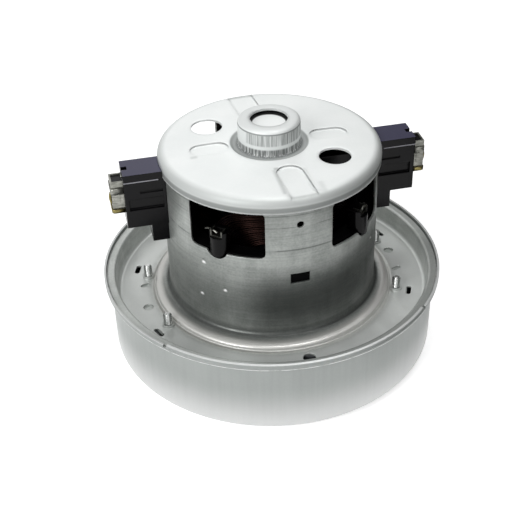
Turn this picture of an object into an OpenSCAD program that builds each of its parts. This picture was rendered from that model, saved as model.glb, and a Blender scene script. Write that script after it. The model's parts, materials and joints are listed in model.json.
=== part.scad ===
// Through-flow universal motor of a vacuum cleaner, with its fan in a drawn steel case.
// The origin is the middle of the fan cover's bottom face.
// +Z runs up the shaft, and the brushes lie along X.

/* [Sheet steel] */
// Thickness of the fan cover, the housing and the end cap
sheet = 0.8; // [0.6:0.05:1]
// Gap left by pieces that are pressed together
fit = 0.05; // [0.02:0.01:0.08]
// Gap left by pieces that drop into each other
slip = 0.25; // [0.15:0.05:0.35]

/* [Fan cover] */
// Outside diameter of the rim band
rim_d = 135; // [131:0.5:140]
// Height of the rim above the bottom face
rim_h = 34; // [32.5:0.5:38]
// Height of the rim band
band_h = 2.8; // [2.4:0.1:3.2]
// Step from the rim band in to the drum wall
band_step = 2.4; // [2.2:0.1:3]
// Radius of the drum's bottom edge
drum_round = 4.5; // [3:0.5:6]
// Diameter of the intake eye
eye_d = 38; // [34:0.5:42]
// Height of the lip turned in round the eye
eye_lip = 3.2; // [2.8:0.1:3.6]
// Arc of each stretch of rim crimped over the flange
crimp_arc = 94; // [80:1:110]
// Turn of the crimped stretches from the front
crimp_turn = -1.7; // [-4:0.1:4]
// How far the crimped rim leans in
crimp_lean = 1.3; // [1:0.1:1.6]
// Width of the slit at each end of a crimped stretch
crimp_slit = 1.2; // [0.8:0.1:2]

/* [Housing] */
// Outside diameter of the can
can_d = 82.8; // [81:0.1:84]
// Depth of the bowl floor below the rim
bowl_depth = 9.8; // [9:0.1:10.5]
// Gap between the flange's edge and the rim band
flange_gap = 0.45; // [0.3:0.05:0.6]
// Gap between the bowl wall and the drum wall
bowl_gap = 0.55; // [0.4:0.05:1]
// Width of the bull-nose ring round the foot of the can
ring_w = 5.8; // [5.2:0.1:6]
// Height of the bull-nose ring above the floor
ring_h = 2.8; // [2.6:0.1:3.4]
// Radius of the bull-nose ring's crown
ring_round = 1.8; // [1.4:0.1:1.8]
// Turn of the can's cut-outs from the brush line
can_turn = 1.5; // [0:0.5:4]
// Arc of each air window
window_arc = 42; // [38:1:44]
// Turn of a window's middle from the front
window_spread = 38.6; // [38:0.1:40]
// Height of a window's sill above the rim
window_low = 28.1; // [27.5:0.1:29]
// Height of a window's head above the rim
window_high = 47.3; // [46.5:0.1:47.4]
// Corner radius of a window
window_round = 2; // [1:0.1:3]
// Diameter of the round sight hole at the front
sight_d = 2.6; // [2:0.1:4]
// Height of the sight hole above the rim
sight_rise = 41.8; // [40:0.1:44]
// Width of the slot at the front
slot_w = 7.3; // [5:0.1:9]
// Height of the slot at the front
slot_tall = 4.3; // [3:0.1:6]
// Height of the slot's middle above the rim
slot_rise = 18.6; // [17:0.1:21]
// Diameter of a staking dent
dent_d = 2.6; // [2:0.1:3]
// Depth of a staking dent
dent_deep = 0.35; // [0.2:0.05:0.4]

/* [Bowl floor] */
// Radius of the circle that the diffuser screws lie on
stud_r = 50.8; // [50.6:0.1:51.4]
// Turn of the front pair of screws from the brush line
stud_front = 24; // [22:0.5:26]
// Turn of the back pair of screws from the brush line
stud_back = 15; // [13:0.5:17]
// Diameter of the diffuser screws
screw_d = 3.3; // [2.9:0.1:3.5]
// Height of the screw tips above the floor
screw_tip = 5.8; // [4:0.1:8]
// Outside diameter of the burr round each screw
burr_d = 4.7; // [4.5:0.1:5]
// Height of the burr
burr_h = 1; // [0.6:0.1:1.5]
// Length of a floor slot
vent_slot_l = 5.5; // [4:0.1:7]
// Width of a floor slot
vent_slot_w = 2; // [1.5:0.1:2.4]
// How far outside the screws the long floor slots lie
vent_slot_out = 5.2; // [4.8:0.1:6]
// Diameter of the small round floor holes
floor_hole_d = 4; // [3:0.1:4.4]
// Diameter of the front floor hole
drain_d = 5; // [4:0.1:6]
// How far outside the screws the round floor holes lie
floor_hole_out = 1.8; // [1.4:0.1:2.6]

/* [End cap] */
// Height of the skirt's lower edge above the rim
skirt_low = 47.5; // [47.4:0.1:48.4]
// Height of the cap's plate above the rim, beside the collar
cap_rise = 53.6; // [53:0.1:55]
// Fall of the plate from the collar to the skirt
cap_dome = 0.5; // [0.3:0.1:1]
// Radius of the cap's outer edge
cap_round = 3; // [2:0.1:3.2]
// Radius of the sunk ring round the collar
trough_r = 15.2; // [15:0.1:17]
// Depth of the sunk ring
trough_deep = 0.8; // [0.4:0.1:1.2]
// Height of the bearing collar above the plate
collar_h = 9.7; // [9.4:0.1:12]
// Diameter of the hole in the collar's end
collar_hole_d = 14.2; // [12:0.1:16]
// Diameter of the two vent holes
vent_d = 12.1; // [9:0.1:13]
// Radius of the circle that the vent holes lie on
vent_r = 27; // [26:0.1:29]
// Turn of the vent holes from the brush line
vent_angle = -40; // [-46:0.5:-36]
// Width of the pressed ribs
rib_w = 10.2; // [8:0.1:12]
// Turn of the front and back ribs from the front
rib_turn = 4; // [0:0.5:6]
// Depth of the pressed ribs
rib_deep = 0.7; // [0.4:0.05:0.7]

/* [Brush gear] */
// Width of a brush holder
holder_w = 11.8; // [11.2:0.1:12.4]
// Height of a brush holder's block
holder_h = 22.8; // [21.6:0.1:24]
// Height of a brush holder's top above the rim
holder_rise = 50; // [49.6:0.1:50.3]
// Reach of a brush holder beyond the can
holder_reach = 15.1; // [14.6:0.1:17]
// Length of the leg below the block
leg_h = 7.3; // [5:0.1:9]
// Thickness of the leg
leg_t = 6; // [4:0.1:7]
// Thickness of the holder's top slab
slab_t = 3.4; // [3:0.1:4]
// How far the top slab stands proud of the block's sides
slab_proud = 0.4; // [0.2:0.05:0.6]
// Depth of the recess in the block's sides
recess_deep = 1.2; // [0.9:0.05:1.3]
// Width of a carbon brush
brush_w = 6.3; // [5.5:0.1:6.6]
// Height of a carbon brush
brush_tall = 11; // [9:0.1:11.6]
// Length of a carbon brush
brush_l = 28; // [24:0.5:30]
// Wall of a brush tube
tube_t = 0.5; // [0.4:0.05:0.6]
// Wire diameter of a brush spring
spring_wire = 0.5; // [0.4:0.05:0.6]
// Mean diameter of a brush spring
spring_d = 4.4; // [3.8:0.1:4.8]
// Turns of a brush spring
spring_turns = 9; // [7:1:10]
// Reach of a terminal beyond the holder
terminal_reach = 4.6; // [4:0.1:6]
// Width of a terminal
terminal_w = 6.8; // [6:0.1:8]
// Height of a terminal
terminal_h = 12.6; // [11:0.1:14]
// Sheet thickness of a terminal
terminal_t = 0.6; // [0.5:0.05:0.8]

/* [Stator] */
// Height of the stator and armature stacks
stack_h = 24; // [22:0.5:24.5]
// Gap between the armature and the bore
air_gap = 0.7; // [0.5:0.05:0.9]
// Thickness of the stator's yoke
yoke_t = 7.5; // [7.2:0.1:8]
// Radial depth of a field coil's inner layers
coil_deep = 3.9; // [3.4:0.1:4.2]
// Thickness of the pole shoes
shoe_t = 4.6; // [4:0.1:4.8]
// Width of the pole necks
neck_w = 24; // [20:0.5:24.5]
// Turns in the outer layer of a field winding
field_turns = 8; // [5:1:8]
// Wire diameter of a field winding
field_wire = 1.2; // [1:0.05:1.25]
// Wire spacing along the sides and over the top of a field winding
field_pitch = 1.75; // [1.7:0.01:1.8]
// Thickness of the coil frames
frame_t = 1.4; // [1:0.1:2]
// Width of the coil frames
frame_w = 5.6; // [5:0.1:5.9]
// Width of a terminal post
post_w = 7.4; // [6.8:0.1:8.4]
// Height of a terminal post above the stator stack
post_h = 10; // [8:0.1:12]
// Turn of the terminal posts from the front
post_spread = 43; // [42:0.5:44]
// Gap between a post and its notch in the can
post_gap = 0.8; // [0.5:0.1:1]
// Sheet thickness of the clips in the posts
clip_t = 0.6; // [0.5:0.05:0.8]

/* [Rotor] */
// Diameter of the shaft in its bearings
shaft_d = 8; // [7.5:0.1:8.4]
// Outside diameter of the bearings
bearing_d = 22; // [21.6:0.1:22.4]
// Width of the bearings
bearing_w = 7; // [6.6:0.1:7.2]
// Diameter of the bearing balls
ball_d = 4; // [3.6:0.1:4]
// Balls in each bearing
ball_count = 7; // [6:1:8]
// Diameter of the commutator
commutator_d = 25; // [24:0.1:27]
// Height of the commutator
commutator_h = 17; // [15:0.1:18]
// Bars of the commutator
commutator_bars_n = 24; // [18:2:28]
// Slots of the armature
armature_slots = 12; // [8:1:12]

/* [Fan] */
// Diameter of the impeller
impeller_d = 104; // [100:0.5:108]
// Blades of the impeller
blade_count = 9; // [6:1:11]
// Thickness of the impeller's aluminium sheet
impeller_t = 0.8; // [0.6:0.05:1]
// Height of the blades at the impeller's edge
blade_edge_h = 6; // [5:0.1:7]
// Thickness of the diffuser's plate
diffuser_t = 1.5; // [1.2:0.1:2]
// Guide vanes of the diffuser
vane_count = 13; // [9:1:15]
// Air passage between the diffuser's edge and the drum
diffuser_gap = 4.5; // [3.5:0.1:6]
// Running gap between the fan and what stands still beside it
fan_gap = 0.8; // [0.6:0.05:1]
// Sheet thickness of the bearing bracket
bracket_t = 1.5; // [1.2:0.1:1.6]

/* [Hidden] */
$fn = 96;
// Reach of a cut past the faces that it goes through
past = 1;

// Case radii and heights
rim_r = rim_d / 2;
drum_r = rim_r - band_step;
eye_r = eye_d / 2;
shelf_z = rim_h - band_h;
flange_z = shelf_z + 2 * sheet;
flange_r = rim_r - sheet - flange_gap;
bowl_r = drum_r - 2 * sheet - bowl_gap;
floor_z = rim_h - bowl_depth;
floor_under = floor_z - sheet;
can_r = can_d / 2;
can_in = can_r - sheet;
ring_r = can_r + ring_w;
cap_r = can_r + slip + sheet;
skirt_z = rim_h + skirt_low;
plate_z = rim_h + cap_rise;
edge_z = plate_z - cap_dome;
can_top = edge_z - cap_round;
collar_top = plate_z + collar_h;
collar_r = bearing_d / 2 + fit + sheet;
cap_slope = atan(cap_dome / (cap_r - trough_r));
cap_apex = plate_z + trough_r * tan(cap_slope);
bend_round = sheet + 0.4;

// Brush gear
holder_top = rim_h + holder_rise;
holder_low = holder_top - holder_h;
brush_z = holder_top - holder_h / 2;
holder_end = can_r + holder_reach;
commutator_r = commutator_d / 2;
brush_tip = commutator_r + 0.3;
holder_nose = commutator_r + 4.5;
tube_w = brush_w + 0.3 + 2 * tube_t;
tube_tall = brush_tall + 0.3 + 2 * tube_t;
tube_end = holder_end - 1;
terminal_top = brush_z + 8;
guide_h = tube_tall + 3.4;

// Bearings, the upper one held in the collar and the lower one in the bracket's cup
washer_t = 1.3;
disc_t = 0.6;
upper_bearing_z = collar_top - sheet - washer_t - disc_t - bearing_w;
lower_bearing_z = floor_under - 0.2 - bearing_w;
cup_r = bearing_d / 2 + fit + bracket_t;
cup_low = lower_bearing_z - bracket_t;
cup_hole_r = shaft_d / 2 + 2.6;
race_r = (shaft_d + bearing_d) / 4;
race_gap = 0.1;
ring_land = ball_d / 2 - 0.3;
cage_half = ball_d / 2 + 0.7;

// Fan
spacer_flange_t = 1;
hub_top = cup_low - fan_gap + 0.2 - spacer_flange_t;
hub_low = hub_top - impeller_t;
shroud_edge_z = hub_low - blade_edge_h;
neck_r = eye_r + sheet + fan_gap;
shroud_z = sheet + fan_gap + 1.4;
fan_washer_t = 1.5;
nut_h = 5;
nut_low = hub_low - fan_washer_t - nut_h;
shaft_low = nut_low - 1.5;
diffuser_z = hub_top + fan_gap + 0.4;
diffuser_top = diffuser_z + diffuser_t;
diffuser_r = drum_r - sheet - diffuser_gap;
bracket_z = floor_under - bracket_t;
boss_r = screw_d / 2 + 3;
head_r = screw_d / 2 + 1.7;
head_h = 2.2;

// Electrical parts
stack_top = rim_h + window_low - 1.7;
stack_z = stack_top - stack_h;
stack_mid = stack_z + stack_h / 2;
stack_r = can_in - fit;
yoke_r = stack_r - yoke_t;
wind_r = yoke_r - 0.7 - field_wire / 2;
coil_out = wind_r - field_wire / 2 - 1;
coil_in = coil_out - coil_deep;
shoe_r = coil_in - 0.4;
bore_r = shoe_r - shoe_t;
armature_r = bore_r - air_gap;
pitch_angle = field_pitch / wind_r * 180 / PI;
neck_angle = asin((neck_w / 2 + 0.5) / coil_in);
first_angle = neck_angle + field_wire;
last_angle = first_angle + field_turns * pitch_angle;
coil_gap = 1.2;
first_rise = stack_h / 2 + coil_gap + 1.2;
lower_pitch = field_pitch - 0.1;
frame_out = can_in - past - slip;
frame_in = frame_out - frame_w;
post_z = rim_h + window_low + 1.7;
post_top = stack_top + post_h;
post_from = frame_in + 2;
clip_w = post_w - 2.4;
clip_h = 2.8;
commutator_z = brush_z - commutator_h / 2 + 1;
shaft_top = upper_bearing_z + bearing_w - 0.5;

// Places that follow the 180 degree symmetry of the can
front = -90;
can_front = front + can_turn;
window_angles = [for (half = [0, 180], side = [-1, 1]) can_front + half + side * window_spread];
post_angles = [for (half = [0, 180], side = [-1, 1]) can_front - 0.5 + half + side * post_spread];
// Turn from the front, and height above the rim, of each staking dent
dents = [[-51.7, 22], [-54.1, 6.9], [-39.3, 12.1], [52, 20]];

// Places on the bowl floor
stud_angles = [-stud_front, stud_back, 180 - stud_back, 180 + stud_front];
long_slot_angles = [-stud_front - 0.5, stud_back + 5, 175 - stud_back, 181.5 + stud_front];
short_slot_angles = [-8.4, 171.6];
hole_angles = [6, 188];

// Outlines in the half plane of radius and height, as [radius, height, corner radius]
cover_line = [
    [eye_r, eye_lip], [eye_r, 0, bend_round], [drum_r, 0, drum_round],
    [drum_r, shelf_z, 0.8], [rim_r, shelf_z, bend_round], [rim_r, rim_h]
];
housing_line = [
    [can_r, can_top], [can_r, floor_z + ring_h, 2.6],
    [ring_r, floor_z + ring_h - 0.5, ring_round], [ring_r + 0.5, floor_z, 0.5],
    [bowl_r - 0.3, floor_z, 1.6], [bowl_r, flange_z, bend_round], [flange_r, flange_z]
];
cap_line = [
    [cap_r, skirt_z], [cap_r, edge_z, cap_round], [trough_r, plate_z, bend_round],
    [trough_r - 1.2, plate_z - trough_deep, bend_round], [collar_r, plate_z - trough_deep, bend_round],
    [collar_r, collar_top, bend_round + 0.3], [collar_hole_d / 2, collar_top]
];

function unit(v) = v / norm(v);
function flat(p) = [p[0], p[1]];
function backwards(list) = [for (i = [len(list) - 1:-1:0]) list[i]];
function left_of(a, b) = let (d = unit(b - a)) [-d[1], d[0]];

// The arc that rounds corner b of an outline between its neighbours a and c
function bend(a, b, c, steps) =
    let (
        corner = flat(b),
        u = unit(flat(a) - corner),
        w = unit(flat(c) - corner),
        half = acos(u * w) / 2,
        middle = corner + unit(u + w) * b[2] / sin(half),
        start = corner + u * b[2] / tan(half) - middle,
        end = corner + w * b[2] / tan(half) - middle,
        turn = atan2(cross(start, end), start * end),
        first = atan2(start[1], start[0])
    )
    [for (i = [0:steps]) middle + b[2] * [cos(first + turn * i / steps), sin(first + turn * i / steps)]];

function smooth(line, steps = 8) = [
    for (i = [0:len(line) - 1])
        each (len(line[i]) < 3) ? [flat(line[i])] : bend(line[i - 1], line[i], line[i + 1], steps)
];

// The same line moved sideways by a distance, to its left where the distance is positive
function beside(line, distance) = [
    for (i = [0:len(line) - 1])
        let (
            last = len(line) - 1,
            before = i == 0 ? left_of(line[0], line[1]) : left_of(line[i - 1], line[i]),
            after = i == last ? before : left_of(line[i], line[i + 1])
        )
        line[i] + (before + after) * distance / (1 + before * after)
];

// Sheet drawn to an outline, with its thickness to one side
module pressed(line, side) {
    face = smooth(line);
    rotate_extrude()
        polygon(concat(face, backwards(beside(face, side * sheet))));
}

module tube(r_in, r_out, z0, z1) {
    translate([0, 0, z0])
        difference() {
            cylinder(r = r_out, h = z1 - z0);
            translate([0, 0, -past])
                cylinder(r = r_in, h = z1 - z0 + 2 * past);
        }
}

module sector(r_in, r_out, z0, z1, from, to) {
    rotate([0, 0, from])
        rotate_extrude(angle = to - from)
            translate([r_in, z0])
                square([r_out - r_in, z1 - z0]);
}

// A flat outline, across and up, pushed outward along a radius
module outward(angle, from, to) {
    rotate([0, 0, angle])
        translate([from, 0, 0])
            rotate([90, 0, 90])
                linear_extrude(to - from)
                    children();
}

module at(angle, r, z = 0) {
    rotate([0, 0, angle])
        translate([r, 0, z])
            children();
}

module both_ways() {
    for (half = [0, 180])
        rotate([0, 0, half])
            children();
}

module rounded_square(w, h, r) {
    corners = [[-w / 2, -h / 2, r], [w / 2, -h / 2, r], [w / 2, h / 2, r], [-w / 2, h / 2, r]];
    polygon([
        for (i = [0:3])
            each bend(corners[(i + 3) % 4], corners[i], corners[(i + 1) % 4], 4)
    ]);
}

module stadium(from, to, w) {
    translate([from, -w / 2])
        square([to - from, w]);
    for (x = [from, to])
        translate([x, 0])
            circle(w / 2);
}

// A strip that spirals from one radius to another
function spiral(r0, r1, sweep, steps) = [
    for (i = [0:steps])
        let (r = r0 + (r1 - r0) * i / steps, a = sweep * i / steps)
        r * [cos(a), sin(a)]
];

module spiral_strip(r0, r1, sweep, t) {
    line = spiral(r0, r1, sweep, 8);
    polygon(concat(beside(line, t / 2), backwards(beside(line, -t / 2))));
}

// A round wire along a path, with a direction for each point that isn't along the path
module wire(path, across, r, sides = 6) {
    last = len(path) - 1;
    points = [
        for (i = [0:last])
            let (
                along = unit(path[min(i + 1, last)] - path[max(i - 1, 0)]),
                u = unit(cross(along, across[i])),
                w = cross(u, along)
            )
            for (k = [0:sides - 1])
                path[i] + r * (cos(360 * k / sides) * u + sin(360 * k / sides) * w)
    ];
    skin = [
        for (i = [0:last - 1], k = [0:sides - 1])
            let (a = i * sides + k, b = i * sides + (k + 1) % sides)
            each [[a, a + sides, b], [b, a + sides, b + sides]]
    ];
    caps = [
        for (k = [1:sides - 2])
            each [[0, k, k + 1], [last * sides, last * sides + k + 1, last * sides + k]]
    ];
    polyhedron(points, concat(skin, caps));
}

// Least gap between turns of one wire, measured on its points
function least_gap(path, turn_points, d) = min([
    for (i = [0:len(path) - 1])
        for (j = [i + ceil(turn_points / 2):1:len(path) - 1])
            norm(path[i] - path[j])
]) - d;

function signed_power(x, p) = sign(x) * pow(abs(x), p);

// Outer layer of a field winding: a spiral of rounded oblong loops laid on a cylinder
loop_points = 24;
function field_point(t) =
    let (
        across = signed_power(cos(360 * t), 0.5) * (first_angle + pitch_angle * t),
        rise = signed_power(sin(360 * t), 0.5),
        height = rise * (first_rise + t * (rise > 0 ? field_pitch : lower_pitch))
    )
    [wind_r * sin(across), -wind_r * cos(across), stack_mid + height];
field_path = let (
    turns = [for (i = [0:field_turns * loop_points]) field_point(i / loop_points)],
    last = len(turns) - 1
) concat(
    [turns[0] + field_wire * unit(turns[0] - turns[1])],
    turns,
    [turns[last] + field_wire * unit(turns[last] - turns[last - 1])]
);
echo(field_winding_gap = least_gap(field_path, loop_points, field_wire));

// Brush spring along X, from the back of the brush to the holder's end wall
curl_points = 8;
spring_from = brush_tip + brush_l + spring_wire / 2 + 0.05;
spring_to = tube_end - spring_wire / 2 - 0.05;
spring_path = [
    for (i = [0:spring_turns * curl_points])
        let (t = i / (spring_turns * curl_points), a = 360 * i / curl_points)
        [spring_from + t * (spring_to - spring_from), spring_d / 2 * cos(a), spring_d / 2 * sin(a)]
];
echo(brush_spring_gap = least_gap(spring_path, curl_points, spring_wire));

module fan_cover() {
    root = sheet / 5;
    slit_angle = crimp_slit / rim_r * 180 / PI;
    crimp_from = front + crimp_turn - crimp_arc / 2;
    color("silver") {
        difference() {
            pressed(cover_line, 1);
            both_ways()
                sector(
                    rim_r - 2 * sheet, rim_r + past, flange_z, rim_h + past,
                    crimp_from - slit_angle, crimp_from + crimp_arc + slit_angle
                );
        }
        both_ways()
            rotate([0, 0, crimp_from])
                rotate_extrude(angle = crimp_arc)
                    polygon([
                        [rim_r - sheet + 2 * root, flange_z - root], [rim_r - root, flange_z - root],
                        [rim_r - crimp_lean / 3, rim_h - root], [rim_r - crimp_lean, rim_h],
                        [rim_r - crimp_lean - 2 * root, rim_h - 2 * root]
                    ]);
    }
}

module window_cut(angle) {
    half_w = can_r * sin(window_arc / 2);
    outward(angle, can_in * cos(window_arc / 2) - 2 * past, can_r + past)
        translate([0, rim_h + (window_low + window_high) / 2])
            rounded_square(2 * half_w, window_high - window_low, window_round);
}

module floor_slot(angle, r, l, lean) {
    half = (l - vent_slot_w) / 2;
    at(angle, r, floor_under - past)
        rotate([0, 0, lean])
            linear_extrude(sheet + 2 * past)
                stadium(-half, half, vent_slot_w);
}

module floor_hole(angle, r, d) {
    at(angle, r, floor_under - past)
        cylinder(d = d, h = sheet + 2 * past);
}

module motor_housing() {
    color("gainsboro")
        difference() {
            union() {
                pressed(housing_line, -1);
                for (a = stud_angles)
                    at(a, stud_r, floor_z - sheet / 2)
                        cylinder(d = burr_d, h = burr_h + sheet / 2);
            }
            for (a = window_angles)
                window_cut(a);
            for (a = post_angles)
                outward(a, can_in - past, can_r + past)
                    translate([0, post_z])
                        circle(post_w / 2 + post_gap);
            both_ways() {
                translate([can_in - past, -holder_w / 2 - slip, holder_low - slip])
                    cube([sheet + 2 * past, holder_w + 2 * slip, can_top - holder_low + slip + past]);
                outward(can_front, can_in - past, can_r + past) {
                    translate([0, rim_h + sight_rise])
                        circle(d = sight_d);
                    translate([0, rim_h + slot_rise])
                        square([slot_w, slot_tall], center = true);
                }
                for (d = dents)
                    at(can_front + d[0], can_r + dent_d - dent_deep, rim_h + d[1])
                        sphere(dent_d);
            }
            floor_hole(can_front, stud_r + floor_hole_out + 0.6, drain_d);
            for (a = long_slot_angles)
                floor_slot(a, stud_r + vent_slot_out, vent_slot_l, 90);
            for (a = short_slot_angles)
                floor_slot(a, stud_r + 1, vent_slot_l - 1.5, 30);
            for (a = hole_angles)
                floor_hole(a, stud_r + floor_hole_out, floor_hole_d);
            for (a = stud_angles)
                floor_hole(a, stud_r, screw_d + 2 * fit);
            for (a = stud_angles)
                at(a, stud_r, floor_z)
                    cylinder(d = screw_d + 2 * fit, h = burr_h + past);
        }
}

// The cap's outer form, filled to its axis
module cap_envelope() {
    rotate_extrude()
        polygon(concat(smooth(cap_line), [[0, collar_top], [0, skirt_z]]));
}

// A rib along a radius, in the plane of the sloping plate
module cap_rib(angle, from, to, w, low, high) {
    rotate([0, 0, angle])
        translate([0, 0, cap_apex])
            rotate([0, cap_slope, 0])
                translate([0, 0, low])
                    linear_extrude(high - low)
                        stadium(from + w / 2, to - w / 2, w);
}

module cap_ribs(grow, low, high) {
    both_ways() {
        cap_rib(0, trough_r + 0.6 - grow, cap_r - 12 + grow, rib_w - 2 + 2 * grow, low, high);
        cap_rib(front + rib_turn, trough_r + 4.4 - grow, cap_r + 2 * rib_w, rib_w + 2 * grow, low, high);
    }
}

module end_cap() {
    color("whitesmoke")
        difference() {
            union() {
                pressed(cap_line, 1);
                intersection() {
                    cap_envelope();
                    cap_ribs(sheet, -rib_deep - sheet, -sheet / 2);
                }
            }
            cap_ribs(0, -rib_deep, past);
            both_ways() {
                at(vent_angle, vent_r, edge_z - 2 * past)
                    cylinder(d = vent_d, h = cap_dome + 3 * past);
                translate([can_r - 2 * past, -holder_w / 2 - slip, skirt_z - past])
                    cube([4 * past, holder_w + 2 * slip, holder_top - skirt_z + slip + past]);
            }
        }
}

// Outline of the bracket: two arms that spread to the screws, joined by the bearing's cup
module bracket_outline(grow) {
    arm_end = stud_r + 6;
    end_half = stud_r * sin(stud_front) + 4 + grow;
    circle(cup_r + 4 + grow);
    both_ways()
        intersection() {
            circle(stud_r + 4.5 + grow);
            polygon([
                [0, -9 - grow], [can_in - 6, -11 - grow], [can_in + 1, -end_half], [arm_end, -end_half],
                [arm_end, end_half], [can_in + 1, end_half], [can_in - 6, 11 + grow], [0, 9 + grow]
            ]);
        }
}

module bearing_bracket() {
    color("silver")
        difference() {
            union() {
                translate([0, 0, bracket_z])
                    linear_extrude(bracket_t)
                        bracket_outline(0);
                translate([0, 0, cup_low])
                    cylinder(r = cup_r, h = bracket_z - cup_low + bracket_t / 2);
            }
            translate([0, 0, lower_bearing_z])
                cylinder(r = bearing_d / 2 + fit, h = bearing_w + past);
            translate([0, 0, cup_low - past])
                cylinder(r = cup_hole_r, h = bracket_t + 2 * past);
            for (a = stud_angles)
                at(a, stud_r, bracket_z - past)
                    cylinder(d = screw_d + 2 * fit, h = bracket_t + 2 * past);
            both_ways()
                translate([cup_r + 9, 0, bracket_z - past])
                    linear_extrude(bracket_t + 2 * past)
                        stadium(0, can_in - cup_r - 16, 8);
        }
}

module diffuser() {
    color("dimgray")
        difference() {
            union() {
                tube(cup_r + fan_gap, diffuser_r, diffuser_z, diffuser_top);
                difference() {
                    translate([0, 0, diffuser_top - diffuser_t / 2])
                        linear_extrude(floor_under - fit - diffuser_top + diffuser_t / 2)
                            for (i = [0:vane_count - 1])
                                rotate([0, 0, 360 * i / vane_count])
                                    spiral_strip(can_in + 2, diffuser_r - 2, 42, 1.6);
                    translate([0, 0, bracket_z - slip])
                        linear_extrude(bracket_t + slip + past)
                            bracket_outline(slip);
                }
                for (a = stud_angles)
                    at(a, stud_r, diffuser_z)
                        cylinder(r = boss_r, h = bracket_z - diffuser_z);
            }
            for (a = stud_angles)
                at(a, stud_r, diffuser_z - past) {
                    cylinder(d = screw_d + 2 * fit, h = bracket_z - diffuser_z + 2 * past);
                    cylinder(r = head_r + fit, h = head_h + 0.4 + past);
                }
        }
}

module diffuser_screws() {
    head_z = diffuser_z + 0.4;
    tip_z = floor_z + screw_tip;
    color("lightsteelblue")
        for (a = stud_angles)
            at(a, stud_r)
                rotate_extrude()
                    polygon([
                        [0, head_z], [head_r, head_z], [head_r, head_z + head_h],
                        [screw_d / 2, head_z + head_h], [screw_d / 2, tip_z - 0.5],
                        [screw_d / 2 - 0.4, tip_z], [0, tip_z]
                    ]);
}

module stator_stack() {
    color("slategray")
        translate([0, 0, stack_z])
            linear_extrude(stack_h)
                difference() {
                    union() {
                        difference() {
                            circle(stack_r);
                            circle(yoke_r);
                        }
                        intersection() {
                            circle(yoke_r + past);
                            square([neck_w, 2 * yoke_r + 2 * past], center = true);
                        }
                        difference() {
                            circle(shoe_r);
                            square([2 * shoe_r + past, shoe_r], center = true);
                        }
                    }
                    circle(bore_r);
                    for (a = [45:90:315])
                        rotate(a)
                            translate([stack_r, 0])
                                circle(3);
                }
}

module upper_coil_frame() {
    color("black")
        tube(frame_in, frame_out, stack_top, stack_top + frame_t);
}

// Posts that carry the ends of the field windings, each standing through a notch in the can
module coil_posts() {
    color("black")
        for (a = post_angles)
            difference() {
                intersection() {
                    outward(a, post_from, can_r + past) {
                        translate([0, post_z])
                            circle(post_w / 2);
                        translate([-post_w / 2, post_z])
                            square([post_w, post_top - post_z]);
                    }
                    at(a, can_r + 0.6 - post_w / 2, stack_z)
                        cylinder(r = post_w / 2 + 0.2, h = stack_h + 2 * post_h);
                }
                translate([0, 0, stack_z])
                    cylinder(r = can_in, h = stack_h + frame_t);
                outward(a, post_from + 2 - fit, can_r + past)
                    translate([-clip_w / 2 - fit, post_top - clip_h + 0.6 - fit])
                        square([clip_w + 2 * fit, clip_h]);
            }
}

module lower_coil_frame() {
    color("black")
        tube(frame_in, frame_out, stack_z - frame_t, stack_z);
}

module coil_terminals() {
    color("white")
        for (a = post_angles)
            outward(a, post_from + 2, can_r - 0.4)
                translate([-clip_w / 2, post_top - clip_h + 0.6])
                    difference() {
                        square([clip_w, clip_h]);
                        translate([clip_t, clip_t])
                            square([clip_w - 2 * clip_t, clip_h]);
                    }
}

// Inner layers of a field coil, wound round the pole at the front
module field_coil() {
    side = last_angle + field_wire;
    top = stack_mid + first_rise + field_turns * field_pitch;
    low = stack_mid - first_rise - field_turns * lower_pitch;
    difference() {
        sector(coil_in, coil_out, low, top, front - side, front + side);
        sector(
            coil_in - past, coil_out + past, stack_z - coil_gap, stack_top + coil_gap,
            front - neck_angle, front + neck_angle
        );
    }
}

module field_winding() {
    wire(field_path, [for (p = field_path) [p[0], p[1], 0]], field_wire / 2);
}

module field_coil_front() {
    color("sienna")
        field_coil();
}

module field_coil_rear() {
    color("sienna")
        rotate([0, 0, 180])
            field_coil();
}

module field_winding_front() {
    color("chocolate")
        field_winding();
}

module field_winding_rear() {
    color("chocolate")
        rotate([0, 0, 180])
            field_winding();
}

// Brush gear is drawn for the right side, along +X
module brush_holder() {
    block_w = holder_w - 2 * slab_proud;
    tongue_w = terminal_w - 2 * terminal_t - 2 * fit;
    recess_z = brush_z - 4.2;
    slit_z = brush_z + 2.9;
    difference() {
        union() {
            translate([can_in - past, -block_w / 2, holder_low])
                cube([holder_end - can_in + past, block_w, holder_h - slab_t / 2]);
            translate([can_in - past, -holder_w / 2, holder_top - slab_t])
                cube([holder_end - can_in + past, holder_w, slab_t]);
            translate([holder_nose, -block_w / 2, brush_z - guide_h / 2])
                cube([can_in - holder_nose, block_w, guide_h]);
            difference() {
                translate([can_in, -block_w / 2, holder_low - leg_h])
                    cube([can_r - can_in + leg_t, block_w, leg_h + past]);
                translate([0, 0, holder_low - leg_h - past])
                    cylinder(r = can_r + fit, h = leg_h + 2 * past);
            }
            translate([holder_end - past, -tongue_w / 2, terminal_top - terminal_h])
                cube([terminal_reach - terminal_t - fit + past, tongue_w, terminal_h - 0.6]);
        }
        translate([holder_nose - past, -tube_w / 2 - fit, brush_z - tube_tall / 2 - fit])
            cube([tube_end - holder_nose + past, tube_w + 2 * fit, tube_tall + 2 * fit]);
        for (side = [-1, 1]) {
            recess_y = side > 0 ? block_w / 2 - recess_deep : -block_w / 2 - past;
            translate([can_r + 0.6, recess_y, recess_z])
                cube([holder_reach - 2.2, recess_deep + past, 4.8]);
            slit_y = side > 0 ? block_w / 2 - 0.6 : -block_w / 2 - past;
            translate([can_r + 0.6, slit_y, slit_z])
                cube([holder_reach - 6.5, 0.6 + past, 0.9]);
        }
        translate([holder_end - 2.2, -1.2, holder_top - slab_t + past])
            cube([2.2 + past, 2.4, slab_t]);
    }
}

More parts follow.
